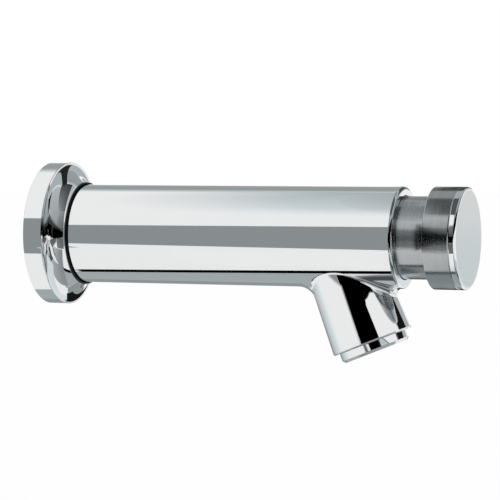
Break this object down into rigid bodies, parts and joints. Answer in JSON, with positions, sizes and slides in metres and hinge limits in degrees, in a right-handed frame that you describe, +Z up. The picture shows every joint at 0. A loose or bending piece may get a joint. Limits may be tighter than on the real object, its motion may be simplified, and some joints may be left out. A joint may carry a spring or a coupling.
{
  "type": "push timed tap",
  "caption": "Wall-mounted push tap: straight round barrel with wall flange, short slanted spout with aerator, and a front push button that a spring returns slowly to shut off the water.",
  "frame": {"origin": "on the barrel's axis at the wall plane, which is the flange's back face, inside the span of the inlet thread", "axes": "+X out of the wall along the barrel to the button, +Z up, the spout points down and a little forward"},
  "size_m": [0.1753, 0.055, 0.0747],
  "materials": {
    "chrome": "polished plating",
    "cap": "polished edge, satin face",
    "brushed": "brushed round the axis",
    "brass": "turned",
    "steel": "plain stainless",
    "rubber": "matt black",
    "acetal": "white moulded"
  },
  "bodies": {
    "tap": {"tap_body": "chrome", "inlet_nipple": "brass", "nipple_o_ring": "rubber", "inlet_strainer": "steel", "cartridge_sleeve": "brass", "cartridge_o_rings": "rubber", "stem_guide": "acetal", "stem_o_ring": "rubber", "guide_o_ring": "rubber", "return_spring": "steel", "piston_circlip": "steel", "button_guide": "acetal", "aerator_housing": "chrome", "aerator_gasket": "rubber", "aerator_insert": "acetal", "aerator_screen": "steel"},
    "button": {"push_button": "brushed", "button_cap": "cap", "button_screw": "steel", "stem": "brass", "piston": "acetal", "piston_seal": "rubber", "timing_screw": "steel", "stem_clip": "steel", "seat_washer": "rubber", "washer_holder": "brass", "stem_nut": "brass"},
    "flange": {"wall_flange": "chrome", "flange_o_ring": "rubber"}
  },
  "joints": [
    {"name": "button_press", "type": "slide", "parent": "tap", "child": "button", "axis": [-1, 0, 0], "range_m": [0, 0.009], "stiffness_N_per_m": 910, "springref_m": -0.012, "deforming": ["return_spring"]},
    {"name": "flange_slide", "type": "slide", "parent": "tap", "child": "flange", "axis": [1, 0, 0], "range_m": [0, 0.08]}
  ]
}
